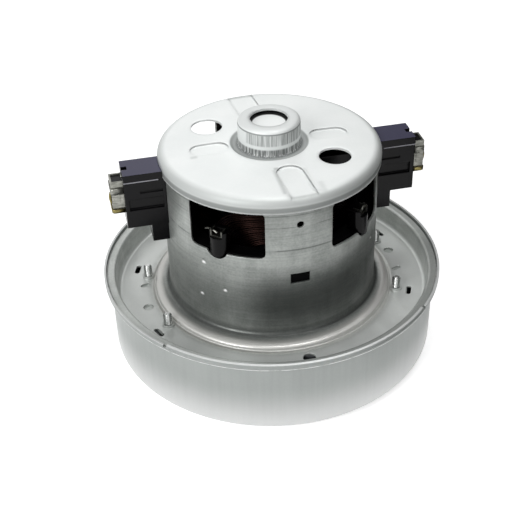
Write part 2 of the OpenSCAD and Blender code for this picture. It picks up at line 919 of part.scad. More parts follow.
module brush_tube() {
    from = holder_nose - 1.5;
    translate([0, 0, brush_z])
        difference() {
            translate([from, -tube_w / 2, -tube_tall / 2])
                cube([tube_end - from, tube_w, tube_tall]);
            translate([from - past, tube_t - tube_w / 2, tube_t - tube_tall / 2])
                cube([tube_end - from + 2 * past, tube_w - 2 * tube_t, tube_tall - 2 * tube_t]);
        }
}

module brush_terminal() {
    inside_w = terminal_w - 2 * terminal_t;
    translate([holder_end, -terminal_w / 2, terminal_top - terminal_h])
        difference() {
            union() {
                cube([terminal_reach, terminal_w, terminal_h]);
                for (y = [-0.3, terminal_w])
                    translate([terminal_reach * 0.35, y, terminal_h * 0.3])
                        cube([terminal_reach * 0.4, 0.3, terminal_h * 0.35]);
            }
            translate([-past, terminal_t, -past])
                cube([terminal_reach - terminal_t + past, inside_w, terminal_h + 2 * past]);
        }
}

module carbon_brush() {
    difference() {
        translate([brush_tip - 2, -brush_w / 2, brush_z - brush_tall / 2])
            cube([brush_l + 2, brush_w, brush_tall]);
        translate([0, 0, brush_z - brush_tall])
            cylinder(r = brush_tip, h = 2 * brush_tall);
    }
}

module brush_spring() {
    translate([0, 0, brush_z])
        wire(spring_path, [for (p = spring_path) [1, 0, 0]], spring_wire / 2);
}

module left_side() {
    rotate([0, 0, 180])
        children();
}

module brush_holder_left() {
    color("black")
        left_side()
            brush_holder();
}

module brush_holder_right() {
    color("black")
        brush_holder();
}

module brush_tube_left() {
    color("goldenrod")
        left_side()
            brush_tube();
}

module brush_tube_right() {
    color("goldenrod")
        brush_tube();
}

module brush_terminal_left() {
    color("lightgray")
        left_side()
            brush_terminal();
}

module brush_terminal_right() {
    color("lightgray")
        brush_terminal();
}

module brush_spring_left() {
    color("gray")
        left_side()
            brush_spring();
}

module brush_spring_right() {
    color("gray")
        brush_spring();
}

module carbon_brush_left() {
    color("darkslategray")
        left_side()
            carbon_brush();
}

module carbon_brush_right() {
    color("darkslategray")
        carbon_brush();
}

// Bearing pieces are drawn from the bearing's lower face up
module outer_race() {
    rotate_extrude()
        difference() {
            translate([race_r + ring_land, 0])
                square([bearing_d / 2 - race_r - ring_land, bearing_w]);
            translate([race_r, bearing_w / 2])
                circle(ball_d / 2 + race_gap);
        }
}

module inner_race() {
    rotate_extrude()
        difference() {
            translate([shaft_d / 2, 0])
                square([race_r - ring_land - shaft_d / 2, bearing_w]);
            translate([race_r, bearing_w / 2])
                circle(ball_d / 2 + race_gap);
        }
}

module ball_set() {
    for (i = [0:ball_count - 1])
        at(360 * i / ball_count, race_r, bearing_w / 2)
            sphere(d = ball_d);
}

module ball_cage() {
    difference() {
        tube(race_r - 0.7, race_r + 0.7, bearing_w / 2 - cage_half, bearing_w / 2 + cage_half);
        for (i = [0:ball_count - 1])
            outward(360 * i / ball_count, race_r - past, race_r + past)
                translate([0, bearing_w / 2])
                    circle(ball_d / 2 + race_gap);
    }
}

module at_upper_bearing() {
    translate([0, 0, upper_bearing_z])
        children();
}

module at_lower_bearing() {
    translate([0, 0, lower_bearing_z])
        children();
}

module upper_bearing_outer() {
    color("lightgray")
        at_upper_bearing()
            outer_race();
}

module lower_bearing_outer() {
    color("lightgray")
        at_lower_bearing()
            outer_race();
}

module upper_bearing_inner() {
    color("lightgray")
        at_upper_bearing()
            inner_race();
}

module lower_bearing_inner() {
    color("lightgray")
        at_lower_bearing()
            inner_race();
}

module upper_balls() {
    color("white")
        at_upper_bearing()
            ball_set();
}

module lower_balls() {
    color("white")
        at_lower_bearing()
            ball_set();
}

module upper_ball_cage() {
    color("tan")
        at_upper_bearing()
            ball_cage();
}

module lower_ball_cage() {
    color("tan")
        at_lower_bearing()
            ball_cage();
}

module bearing_washer() {
    top = collar_top - sheet;
    color("gray")
        tube(collar_hole_d / 2 + 1, bearing_d / 2 - 1, top - washer_t, top);
}

module bearing_disc() {
    color("whitesmoke")
        translate([0, 0, upper_bearing_z + bearing_w])
            cylinder(d = bearing_d - 0.2, h = disc_t);
}

module shaft() {
    seat_r = shaft_d / 2 - fit;
    middle_r = shaft_d / 2 + 1;
    end_r = seat_r - 0.6;
    lower_step = lower_bearing_z + bearing_w;
    color("lightsteelblue")
        rotate_extrude()
            polygon([
                [0, shaft_low], [end_r, shaft_low], [seat_r, shaft_low + 0.6], [seat_r, lower_step],
                [middle_r, lower_step], [middle_r, upper_bearing_z], [seat_r, upper_bearing_z],
                [seat_r, shaft_top - 0.6], [end_r, shaft_top], [0, shaft_top]
            ]);
}

// Middle and radius of the round part of an armature slot
slot_r = armature_r * 0.74;
slot_round = min(3, slot_r * sin(180 / armature_slots) - 0.9);

module armature_stack() {
    color("slategray")
        translate([0, 0, stack_z])
            linear_extrude(stack_h)
                difference() {
                    circle(armature_r);
                    circle(d = shaft_d + 2 + 2 * fit);
                    for (i = [0:armature_slots - 1])
                        rotate(360 * i / armature_slots) {
                            translate([slot_r, 0])
                                circle(slot_round);
                            translate([slot_r, -1])
                                square([armature_r, 2]);
                        }
                }
}

module armature_winding() {
    fill = slot_round - 0.2;
    bell = 5;
    color("saddlebrown") {
        for (i = [0:armature_slots - 1])
            at(360 * i / armature_slots, slot_r, stack_z - past)
                cylinder(r = fill, h = stack_h + 2 * past);
        tube(slot_r - fill - 1, slot_r + fill + 0.5, stack_top + slip, commutator_z - 1.5);
        tube(slot_r - fill - 1, slot_r + fill + 0.5, stack_z - bell, stack_z - slip);
    }
}

bar_in = commutator_r - 3;

module commutator_core() {
    color("saddlebrown")
        tube(shaft_d / 2 + 1 + fit, bar_in - fit, commutator_z - 0.3, commutator_z + commutator_h + 1);
}

module commutator_bars() {
    step = 360 / commutator_bars_n;
    gap = 0.5 / commutator_r * 180 / PI;
    color("peru")
        for (i = [0:commutator_bars_n - 1])
            rotate([0, 0, i * step])
                translate([0, 0, commutator_z]) {
                    sector(bar_in, commutator_r, 0, commutator_h, 0, step - gap);
                    sector(bar_in + 1, commutator_r + 1.3, 0, 1.6, 0, step - gap);
                }
}

module fan_spacer() {
    color("lightsteelblue")
        difference() {
            union() {
                translate([0, 0, hub_top])
                    cylinder(r = cup_hole_r + 2.4, h = spacer_flange_t);
                translate([0, 0, hub_top])
                    cylinder(r = cup_hole_r - 0.9, h = lower_bearing_z - hub_top);
            }
            translate([0, 0, hub_top - past])
                cylinder(d = shaft_d, h = lower_bearing_z - hub_top + 2 * past);
        }
}

module impeller_hub() {
    color("gainsboro")
        tube(shaft_d / 2, impeller_d / 2, hub_low, hub_top);
}

// Outline of the shroud: a neck round the eye, and a cone that closes in to the blade tips
shroud_line = [
    [neck_r, sheet + fan_gap], [neck_r, shroud_z, bend_round],
    [neck_r + 4, shroud_z + 0.2, 4], [impeller_d / 2, shroud_edge_z - impeller_t]
];

module impeller_shroud() {
    face = smooth(shroud_line);
    color("gainsboro")
        rotate_extrude()
            polygon(concat(face, backwards(beside(face, impeller_t))));
}

module impeller_blades() {
    over_shroud = beside(smooth(shroud_line), impeller_t);
    color("gainsboro")
        intersection() {
            translate([0, 0, shroud_z])
                linear_extrude(hub_low - shroud_z)
                    for (i = [0:blade_count - 1])
                        rotate([0, 0, 360 * i / blade_count])
                            spiral_strip(neck_r + 1.5, impeller_d / 2 - 0.6, -62, impeller_t);
            rotate_extrude()
                polygon(concat(over_shroud, [[impeller_d / 2, hub_low], [neck_r, hub_low]]));
        }
}

module fan_washer() {
    color("silver")
        tube(shaft_d / 2, shaft_d / 2 + 7, hub_low - fan_washer_t, hub_low);
}

module fan_nut() {
    color("silver")
        translate([0, 0, nut_low])
            difference() {
                cylinder(d = shaft_d + 7, h = nut_h, $fn = 6);
                translate([0, 0, -past])
                    cylinder(d = shaft_d, h = nut_h + 2 * past);
            }
}

fan_cover();
motor_housing();
end_cap();
bearing_bracket();
diffuser();
diffuser_screws();
stator_stack();
upper_coil_frame();
lower_coil_frame();
coil_posts();
coil_terminals();
field_coil_front();
field_coil_rear();
field_winding_front();
field_winding_rear();
brush_holder_left();
brush_holder_right();
brush_tube_left();
brush_tube_right();
brush_terminal_left();
brush_terminal_right();
brush_spring_left();
brush_spring_right();
carbon_brush_left();
carbon_brush_right();
upper_bearing_outer();
lower_bearing_outer();
upper_bearing_inner();
lower_bearing_inner();
upper_balls();
lower_balls();
upper_ball_cage();
lower_ball_cage();
bearing_washer();
bearing_disc();
shaft();
armature_stack();
armature_winding();
commutator_core();
commutator_bars();
fan_spacer();
impeller_hub();
impeller_blades();
impeller_shroud();
fan_washer();
fan_nut();
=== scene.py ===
import json
import math

import bpy
from mathutils import Matrix, Vector


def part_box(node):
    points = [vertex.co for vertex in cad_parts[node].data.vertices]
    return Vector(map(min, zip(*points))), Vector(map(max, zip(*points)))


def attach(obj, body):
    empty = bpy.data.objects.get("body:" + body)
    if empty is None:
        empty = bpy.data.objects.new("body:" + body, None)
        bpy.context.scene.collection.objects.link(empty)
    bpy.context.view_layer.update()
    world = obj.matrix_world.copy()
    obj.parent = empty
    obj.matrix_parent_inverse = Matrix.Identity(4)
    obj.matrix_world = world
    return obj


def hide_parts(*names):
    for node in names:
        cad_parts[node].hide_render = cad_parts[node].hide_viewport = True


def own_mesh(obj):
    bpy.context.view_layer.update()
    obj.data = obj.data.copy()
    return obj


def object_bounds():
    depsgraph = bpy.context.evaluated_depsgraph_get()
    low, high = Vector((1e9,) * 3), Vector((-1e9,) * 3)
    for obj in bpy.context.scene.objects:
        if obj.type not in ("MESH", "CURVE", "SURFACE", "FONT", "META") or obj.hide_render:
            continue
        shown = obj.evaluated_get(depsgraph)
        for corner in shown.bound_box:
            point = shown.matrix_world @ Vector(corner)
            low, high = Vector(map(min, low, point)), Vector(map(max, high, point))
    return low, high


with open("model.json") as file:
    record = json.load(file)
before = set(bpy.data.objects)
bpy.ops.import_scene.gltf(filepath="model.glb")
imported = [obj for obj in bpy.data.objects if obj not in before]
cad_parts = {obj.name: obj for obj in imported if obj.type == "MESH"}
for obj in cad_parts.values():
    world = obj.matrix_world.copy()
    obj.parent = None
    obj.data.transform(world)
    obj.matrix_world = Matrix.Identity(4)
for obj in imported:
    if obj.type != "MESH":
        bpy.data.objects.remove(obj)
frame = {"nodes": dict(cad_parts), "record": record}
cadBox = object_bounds()
nodes = frame["nodes"]
mm = 0.001
scene = bpy.context.scene
scene.view_settings.view_transform = "Standard"
print("frame:", len(nodes), "nodes")


def toLinear(hexColour):
    parts = [int(hexColour[i:i + 2], 16) / 255 for i in (1, 3, 5)]
    return [c / 12.92 if c <= 0.04045 else ((c + 0.055) / 1.055) ** 2.4 for c in parts] + [1.0]


def addNode(tree, kind, inputs, **settings):
    node = tree.nodes.new(kind)
    for key, value in settings.items():
        setattr(node, key, value)
    for key, value in inputs.items():
        if isinstance(value, bpy.types.NodeSocket):
            tree.links.new(value, node.inputs[key])
        else:
            node.inputs[key].default_value = value
    return node


# One surface: patterns, with sizes along X, Y and Z in millimetres, add up to a tone that runs the colour
# from dark to light and sets the gloss. Marks lie over it in boxes of the frame, also in millimetres, and
# a box's limits are along X, Y or Z or on the radius R from the axis.
def makeMaterial(name, finish):
    material = bpy.data.materials.new(name)
    material.use_nodes = True
    tree = material.node_tree
    shader = tree.nodes["Principled BSDF"]
    for key, value in finish["shader"].items():
        shader.inputs[key].default_value = value
    place = addNode(tree, "ShaderNodeTexCoord", {}).outputs["Object"]
    axes = addNode(tree, "ShaderNodeSeparateXYZ", {0: place}).outputs
    flat = addNode(tree, "ShaderNodeVectorMath", {
        0: place, 1: (1.0, 1.0, 0.0)
    }, operation="MULTIPLY").outputs[0]
    radius = addNode(tree, "ShaderNodeVectorMath", {0: flat}, operation="LENGTH").outputs["Value"]
    facing = addNode(tree, "ShaderNodeNewGeometry", {}).outputs["Normal"]
    upward = addNode(tree, "ShaderNodeSeparateXYZ", {0: facing}).outputs["Z"]
    measures = {"X": axes["X"], "Y": axes["Y"], "Z": axes["Z"], "R": radius}

    # real corners are never sharp, so the shading rounds them
    normal = addNode(tree, "ShaderNodeBevel", {"Radius": finish["edgeMm"] * mm}, samples=6).outputs[0]
    tone = 0.5 - sum(share for sizes, share, deepMm in finish["patterns"]) / 2
    for sizes, share, deepMm in finish["patterns"]:
        cell = addNode(tree, "ShaderNodeMapping", {"Vector": place, "Scale": [1 / (s * mm) for s in sizes]})
        grain = addNode(tree, "ShaderNodeTexNoise", {
            "Vector": cell.outputs[0], "Scale": 1.0, "Detail": 2.0
        }).outputs[0]
        tone = addNode(tree, "ShaderNodeMath", {
            0: grain, 1: share, 2: tone
        }, operation="MULTIPLY_ADD").outputs[0]
        normal = addNode(tree, "ShaderNodeBump", {
            "Height": grain, "Distance": deepMm * mm, "Strength": 1.0, "Normal": normal
        }).outputs[0]
    colour = addNode(tree, "ShaderNodeMix", {
        0: tone, 6: toLinear(finish["dark"]), 7: toLinear(finish["light"])
    }, data_type="RGBA").outputs[2]
    darkRough, lightRough = finish["rough"]  # most of the tone lies between 0.2 and 0.8
    rough = addNode(tree, "ShaderNodeMapRange", {
        "Value": tone, "From Min": 0.2, "From Max": 0.8, "To Min": darkRough, "To Max": lightRough
    }).outputs[0]

    for mark in finish.get("marks", []):
        mask = mark["share"]
        for axis, low, high in mark["box"]:
            for edge, inside in ((low, 1.0), (high, 0.0)):
                step = addNode(tree, "ShaderNodeMapRange", {
                    "Value": measures[axis], "From Min": (edge - mark["fadeMm"]) * mm,
                    "From Max": (edge + mark["fadeMm"]) * mm, "To Min": 1.0 - inside, "To Max": inside
                }, interpolation_type="SMOOTHSTEP").outputs[0]
                mask = addNode(tree, "ShaderNodeMath", {0: mask, 1: step}, operation="MULTIPLY").outputs[0]
        # some marks lie only on faces that look up, and some are broken into lines or spots
        if "up" in mark:
            step = addNode(tree, "ShaderNodeMapRange", {
                "Value": upward, "From Min": mark["up"][0], "From Max": mark["up"][1]
            }).outputs[0]
            mask = addNode(tree, "ShaderNodeMath", {0: mask, 1: step}, operation="MULTIPLY").outputs[0]
        if "lineMm" in mark:
            cell = addNode(tree, "ShaderNodeMapping", {
                "Vector": place, "Scale": [1 / (s * mm) for s in mark["lineMm"]]
            })
            grain = addNode(tree, "ShaderNodeTexNoise", {
                "Vector": cell.outputs[0], "Scale": 1.0, "Detail": 2.0
            }).outputs[0]
            step = addNode(tree, "ShaderNodeMapRange", {
                "Value": grain, "From Min": mark["cut"][0], "From Max": mark["cut"][1]
            }).outputs[0]
            mask = addNode(tree, "ShaderNodeMath", {0: mask, 1: step}, operation="MULTIPLY").outputs[0]
        # a worn-down surface turns back to level, and keeps its colour
        if "worn" in mark:
            level = addNode(tree, "ShaderNodeMix", {
                0: mask, 4: normal, 5: (0.0, 0.0, 1.0)
            }, data_type="VECTOR").outputs[1]
            normal = addNode(tree, "ShaderNodeVectorMath", {0: level}, operation="NORMALIZE").outputs[0]
            continue
        colour = addNode(tree, "ShaderNodeMix", {
            0: mask, 6: colour, 7: toLinear(mark["colour"])
        }, data_type="RGBA").outputs[2]
        if "deepMm" in mark:
            normal = addNode(tree, "ShaderNodeBump", {
                "Height": mask, "Distance": -mark["deepMm"] * mm, "Strength": 1.0, "Normal": normal
            }).outputs[0]
    tree.links.new(colour, shader.inputs["Base Color"])
    tree.links.new(rough, shader.inputs["Roughness"])
    tree.links.new(normal, shader.inputs["Normal"])
    return material


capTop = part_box("end_cap")[1].z / mm
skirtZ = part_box("end_cap")[0].z / mm
plateZ = capTop - 9.7  # the collar stands 9.7 mm above the plate
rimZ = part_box("fan_cover")[1].z / mm
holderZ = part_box("brush_holder_left")[1].z / mm
canWall = ("R", 0, 41.7)
collarWall = ("R", 0, 12.6)
ribBand = ("Z", plateZ - 3, plateZ)

# Zinc-plated deep-drawn steel, satin: clouds from the plating bath, fine spangle,
# a brushed grain round the walls and scratches along the collar where the tools slid
capFinish = {
    "shader": {"Metallic": 0.3, "Specular IOR Level": 0.3},
    "dark": "#dde1e0", "light": "#f5f7f6", "rough": (0.56, 0.46), "edgeMm": 2.4,
    "patterns": [((18, 18, 18), 0.7, 0.0), ((1.1, 1.1, 1.1), 0.15, 0.003), ((60, 60, 0.8), 0.15, 0.003)],
    "marks": [
        # painted shade: the skirt is darker, down to its bright cut edge
        {"box": [("R", 41.5, 99), ("Z", skirtZ + 0.5, skirtZ + 2.6)],
         "fadeMm": 0.5, "share": 0.88, "colour": "#858987"},
        # scratches along the collar's foot and wall; on the wall they are left off the left side, which
        # leaves the wall's front and right darker as painted shade
        {"box": [collarWall, ("Z", plateZ - 1, plateZ + 2.2)], "fadeMm": 0.4, "share": 0.85,
         "lineMm": (0.45, 0.45, 9), "cut": (0.28, 0.56), "colour": "#525655", "deepMm": 0.04},
        {"box": [collarWall, ("X", -10, 99), ("Z", plateZ + 3.7, plateZ + 8.2)], "fadeMm": 0.4, "share": 0.8,
         "lineMm": (0.4, 0.4, 12), "cut": (0.26, 0.7), "colour": "#606463", "deepMm": 0.03},
        # painted shade: darker rings at the collar's shoulder, in the trough round it, over the cap's round
        # edge and on the collar's end
        {"box": [("R", 11.2, 12.6), ("Z", plateZ + 8.1, plateZ + 8.7)],
         "fadeMm": 0.15, "share": 0.8, "colour": "#7b7f7e"},
        {"box": [("R", 12.1, 15.0), ("Z", plateZ - 1, plateZ - 0.2)],
         "fadeMm": 0.3, "share": 0.75, "colour": "#868a89"},
        {"box": [("R", 39.6, 99), ("Z", skirtZ + 2.6, plateZ - 0.6)],
         "fadeMm": 0.8, "share": 0.7, "colour": "#aeb2b0"},
        {"box": [collarWall, ("Z", plateZ + 9.2, 999)], "fadeMm": 0.4, "share": 0.45, "colour": "#bfc2c1"},
        # the pressed ribs are soft
        {"box": [("R", 15, 38), ("Z", plateZ - 3, plateZ + 1)], "fadeMm": 1.0, "share": 0.6, "worn": True},
    ] + [
        # painted shade along their edges and in the dent at the front rib's inner end
        {"box": [("X", *x), ("Y", *y), ribBand], "fadeMm": fade, "share": share, "colour": colour}
        for x, y, fade, share, colour in (
            ((-4.2, -2.9), (-38, -21.5), 0.7, 0.45, "#838886"),
            ((6.6, 7.8), (-38, -23), 0.8, 0.3, "#8d9290"),
            ((-3.4, -1.6), (-21.6, -20.2), 0.5, 0.6, "#6d7270"),
            ((9.6, 11.4), (-39.5, -33), 0.9, 0.25, "#8d9290"),
            ((-31, -28.4), (-5.6, -3.9), 0.7, 0.4, "#868b89"),
        )
    ],
}
# The same sheet drawn deeper: greyer and mottled, with lines along and round the can
canFinish = {
    "shader": {"Metallic": 0.5, "Specular IOR Level": 0.25},
    "dark": "#9ca19d", "light": "#cdd0cd", "rough": (0.44, 0.3), "edgeMm": 0.5,
    "patterns": [
        ((9, 9, 7), 1.3, 0.0), ((0.8, 0.8, 0.8), 0.9, 0.02),
        ((30, 30, 0.7), 0.8, 0.01), ((3, 3, 30), 0.6, 0.004),
    ],
    "marks": [
        # painted shade: the can's upright wall is darker than the bowl
        {"box": [canWall], "fadeMm": 0.3, "share": 0.4, "colour": "#6a6e6b"},
        # the bowl's floor is painted paler as painted light; the bead round the can's foot is flattened,
        # with a painted highlight on its crown and painted shade in the corner inside it
        {"box": [("R", 50, 64), ("Z", 0, rimZ - 8.8)], "fadeMm": 1.5, "share": 0.85, "colour": "#e2e5e3"},
        {"box": [("R", 43.6, 999)], "fadeMm": 2.2, "share": 0.2, "colour": "#b8bbb8", "deepMm": -5},
        {"box": [("R", 47.7, 999)], "fadeMm": 1.5, "share": 0.2, "colour": "#b8bbb8", "deepMm": -7},
        {"box": [("R", 44.4, 48.8), ("Z", rimZ - 10, rimZ)],
         "fadeMm": 1.3, "share": 0.9, "colour": "#e6e5e1"},
        {"box": [("R", 41.5, 43), ("Z", 0, rimZ - 4)], "fadeMm": 0.8, "share": 0.85, "colour": "#2a2d2b"},
        # painted shade: the can is darker towards its foot, darker still low down at the front and right,
        # and darker in the band under the cap
        {"box": [canWall, ("Z", 0, rimZ + 14)], "fadeMm": 13, "share": 0.75, "colour": "#252927"},
        {"box": [("X", -16, 99), ("Y", -99, 0), ("Z", rimZ - 1, rimZ + 19)],
         "fadeMm": 8, "share": 0.7, "colour": "#1b1f1d"},
        {"box": [canWall, ("Z", rimZ + 41, 999)], "fadeMm": 6, "share": 0.55, "colour": "#454946"},
    ] + [
        # broken lines that the drawing ring scored round the can
        {"box": [canWall, ("Z", rimZ + low, rimZ + high)], "fadeMm": fade, "share": 0.7,
         "lineMm": (gap, gap, gap), "cut": (0.35, 0.5), "colour": "#565a58", "deepMm": 0.03}
        for low, high, fade, gap in ((45.7, 46.1, 0.25, 9), (40.9, 41.2, 0.2, 7), (31.0, 31.6, 0.25, 8))
    ] + [
        # painted highlight: a bright spot in each staking dent on the front
        {"box": [("X", x - 0.4, x + 0.4), ("Y", -99, 0), ("Z", rimZ + z - 0.9, rimZ + z - 0.2)],
         "fadeMm": 0.35, "share": 0.9, "colour": "#ffffff"}
        for x, z in ((-31.8, 22), (-32.9, 6.9), (-25.4, 12.1), (33.3, 20))
    ],
}
# The drum's sheet: an even grey with soft streaks down its wall
drumFinish = {
    "shader": {"Metallic": 0.5, "Specular IOR Level": 0.5},
    "dark": "#8f9391", "light": "#acb0ae", "rough": (0.5, 0.38), "edgeMm": 0.2,
    "patterns": [((25, 25, 25), 0.6, 0.0), ((1.8, 1.8, 40), 0.35, 0.003), ((0.9, 0.9, 0.9), 0.15, 0.003)],
    "marks": [
        # painted reflection of the white floor: the wall turns paler towards the bottom edge
        {"box": [("R", 49, 999), ("Z", -40, 8)], "fadeMm": 14, "share": 0.8, "colour": "#ffffff"},
        # painted highlights along the crimped band's fold and its cut edge, with a duller grey band between
        # them
        {"box": [("R", 65.6, 99), ("Z", rimZ - 2.3, rimZ - 1.9)], "fadeMm": 0.15, "share": 0.9,
         "lineMm": (3, 3, 3), "cut": (0.3, 0.5), "colour": "#ffffff"},
        {"box": [("R", 65.2, 99), ("Z", rimZ - 1.8, rimZ - 0.4)],
         "fadeMm": 0.2, "share": 0.3, "colour": "#8d918f"},
        {"box": [("R", 64, 99), ("Z", rimZ - 0.25, rimZ + 1)],
         "fadeMm": 0.12, "share": 0.3, "colour": "#ffffff"},
    ],
}
# The disc is as bright as the cap, and the bracket as grey as the can
discFinish = dict(capFinish, dark="#e4e7e6", light="#f4f6f5", edgeMm=0.15, marks=[
    # the disc's edge, beyond 6.3 mm, is near black
    {"box": [("R", 6.3, 99)], "fadeMm": 0.25, "share": 0.96, "colour": "#070707"},
])
bracketFinish = dict(canFinish, marks=[], edgeMm=0.3)

# Glass-filled nylon, black: nearly black at the sides, with a painted sheen in slate on the tops where light
# grazes them, and a painted highlight as a pale line along the slab's lower edge
nylonFinish = {
    "shader": {"Metallic": 0.0, "IOR": 1.52, "Specular IOR Level": 0.16},
    "dark": "#020203", "light": "#0b0a0d", "rough": (0.16, 0.3), "edgeMm": 0.5,
    "patterns": [((6, 6, 6), 0.8, 0.0), ((0.4, 0.4, 0.4), 0.4, 0.006)],
    "marks": [
        # painted sheen: the tops are painted slate
        {"box": [("Z", holderZ - 1, 999)],
         "fadeMm": 0.5, "share": 0.85, "up": (0.6, 0.95), "colour": "#48475a"},
        # painted highlight: a pale line along the slab's lower edge
        {"box": [("Z", holderZ - 3.5, holderZ - 3.0), ("R", 44, 99)],
         "fadeMm": 0.15, "share": 0.9, "colour": "#b4b4bc"},
    ],
}
# Painted shade: the coil frames and posts are darker, duller copies of the nylon; the frames look matt,
# the posts keep the mould's gloss and the diffuser is grey
innerNylonFinish = dict(
    nylonFinish, dark="#020202", light="#070708", rough=(0.4, 0.6), marks=[],
    shader={"IOR": 1.52, "Specular IOR Level": 0.05}
)
postNylonFinish = dict(
    innerNylonFinish, rough=(0.12, 0.24),
    shader={"Metallic": 0.0, "IOR": 1.52, "Specular IOR Level": 0.12}
)
greyNylonFinish = dict(nylonFinish, dark="#3d3e40", light="#505254", marks=[])
# Phenolic moulding: warm brown with flecks of filler
phenolicFinish = {
    "shader": {"Metallic": 0.0, "IOR": 1.6},
    "dark": "#2b1a10", "light": "#452a19", "rough": (0.35, 0.55), "edgeMm": 0.15,
    "patterns": [((4, 4, 4), 0.9, 0.0), ((0.4, 0.4, 0.4), 0.5, 0.01)],
}
# Pressed carbon: matt and slightly sparkling
carbonFinish = dict(
    phenolicFinish, dark="#17171a", light="#2c2c30", rough=(0.55, 0.75),
    patterns=[((2, 2, 2), 0.6, 0.0), ((0.3, 0.3, 0.3), 0.8, 0.02)]
)
# Tin-plated brass, brass, copper, steel and aluminium:
# the grain runs the way each was rolled, turned or ground
tinFinish = {
    "shader": {"Metallic": 0.8},
    "dark": "#5a5b55", "light": "#b4b4ac", "rough": (0.42, 0.24), "edgeMm": 0.15,
    "patterns": [((3, 3, 0.5), 0.9, 0.012), ((2.5, 2.5, 2.5), 0.9, 0.0)],
}
# The clips are a darker copy of the tin as painted shade in the windows, and the spring washer is blackened
shadedTinFinish = dict(tinFinish, dark="#141413", light="#6c6c66", rough=(0.3, 0.16))
springSteelFinish = dict(tinFinish, dark="#0c0c0d", light="#232325")
brassFinish = {
    "shader": {"Metallic": 1.0},
    "dark": "#4c4426", "light": "#9c9160", "rough": (0.42, 0.26), "edgeMm": 0.12,
    "patterns": [((4, 0.5, 0.5), 0.6, 0.006), ((3, 3, 3), 0.9, 0.0)],
}
copperFinish = {
    "shader": {"Metallic": 1.0},
    "dark": "#8a4a2a", "light": "#cf8658", "rough": (0.36, 0.22), "edgeMm": 0.12,
    "patterns": [((20, 20, 0.4), 1.0, 0.008), ((3, 3, 3), 0.6, 0.0)],
}
steelFinish = {
    "shader": {"Metallic": 1.0},
    "dark": "#8b8e90", "light": "#c4c7c9", "rough": (0.4, 0.24), "edgeMm": 0.12,
    "patterns": [((6, 6, 0.4), 0.7, 0.006), ((4, 4, 4), 0.6, 0.0)],
}
screwFinish = dict(
    steelFinish, dark="#8f9290", light="#f6f8f6", rough=(0.26, 0.16), shader={"Metallic": 0.9}
)
groundFinish = dict(steelFinish, dark="#b4b7ba", light="#d8dadc", rough=(0.24, 0.14))
aluminiumFinish = {
    "shader": {"Metallic": 1.0},
    "dark": "#b3b6b8", "light": "#dfe1e2", "rough": (0.42, 0.28), "edgeMm": 0.15,
    "patterns": [((12, 0.6, 3), 0.8, 0.006), ((9, 9, 9), 0.5, 0.0)],
}
# Enamelled copper wire: dark red-brown varnish over copper, uneven in colour along its length, and darkened
# nearly to black as painted shade, since the wires lie inside the can
wireFinish = {
    "shader": {"Metallic": 0.9},
    "dark": "#040100", "light": "#1e0b06", "rough": (0.36, 0.2), "edgeMm": 0.05,
    "patterns": [((5, 5, 5), 1.1, 0.0), ((0.8, 0.8, 0.8), 0.7, 0.01)],
}
# Stacked electrical sheet in half-millimetre layers, painted near black as painted shade inside the can
sheetStackFinish = {
    "shader": {"Metallic": 0.2, "Specular IOR Level": 0.05},
    "dark": "#020202", "light": "#070708", "rough": (0.7, 0.55), "edgeMm": 0.15,
    "patterns": [((200, 200, 0.5), 1.0, 0.05), ((8, 8, 8), 0.7, 0.0)],
}

materials = {
    "zincCap": makeMaterial("zinc_steel_satin_cap", capFinish),
    "zincCan": makeMaterial("zinc_steel_drawn_can", canFinish),
    "zincDrum": makeMaterial("zinc_steel_drum", drumFinish),
    "zincDisc": makeMaterial("zinc_steel_disc", discFinish),
    "zincBracket": makeMaterial("zinc_steel_bracket", bracketFinish),
    "nylon": makeMaterial("glass_filled_nylon_black", nylonFinish),
    "innerNylon": makeMaterial("glass_filled_nylon_coil_frame", innerNylonFinish),
    "postNylon": makeMaterial("glass_filled_nylon_gloss", postNylonFinish),
    "greyNylon": makeMaterial("glass_filled_nylon_grey", greyNylonFinish),
    "phenolic": makeMaterial("phenolic_brown", phenolicFinish),
    "carbon": makeMaterial("pressed_carbon", carbonFinish),
    "tin": makeMaterial("tin_plated_brass", tinFinish),
    "shadedTin": makeMaterial("tin_plated_brass_shaded", shadedTinFinish),
    "springSteel": makeMaterial("blackened_spring_steel", springSteelFinish),
    "brass": makeMaterial("brass_sheet", brassFinish),
    "copper": makeMaterial("turned_copper", copperFinish),
    "steel": makeMaterial("bare_steel", steelFinish),
    "zincScrew": makeMaterial("zinc_steel_screw", screwFinish),
    "groundSteel": makeMaterial("ground_bearing_steel", groundFinish),
    "aluminium": makeMaterial("rolled_aluminium", aluminiumFinish),
    "wire": makeMaterial("enamelled_copper_wire", wireFinish),
    "sheetStack": makeMaterial("electrical_sheet_stack", sheetStackFinish),
}
slotMaterials = {
    "case_steel": "zincCan", "plain_steel": "steel", "lamination_steel": "sheetStack",
    "black_plastic": "nylon", "grey_plastic": "greyNylon", "copper_wire": "wire", "copper_bar": "copper",
    "moulding": "phenolic", "brass_sheet": "brass", "tin_plate": "tin", "carbon": "carbon",
    "bearing_steel": "groundSteel", "fan_aluminium": "aluminium",
}
nodeMaterials = {
    "end_cap": "zincCap", "fan_cover": "zincDrum", "bearing_disc": "zincDisc",
    "bearing_bracket": "zincBracket", "coil_posts": "postNylon", "upper_coil_frame": "innerNylon",
    "lower_coil_frame": "innerNylon", "coil_terminals": "shadedTin", "bearing_washer": "springSteel",
}
for row in frame["record"]["subparts"]:
    chosen = nodeMaterials.get(row["node"], slotMaterials[row["material_slot"]])
    mesh = nodes[row["node"]].data
    mesh.materials.clear()
    mesh.materials.append(materials[chosen])
print("materials:", len(materials), "on", len(nodes), "nodes")


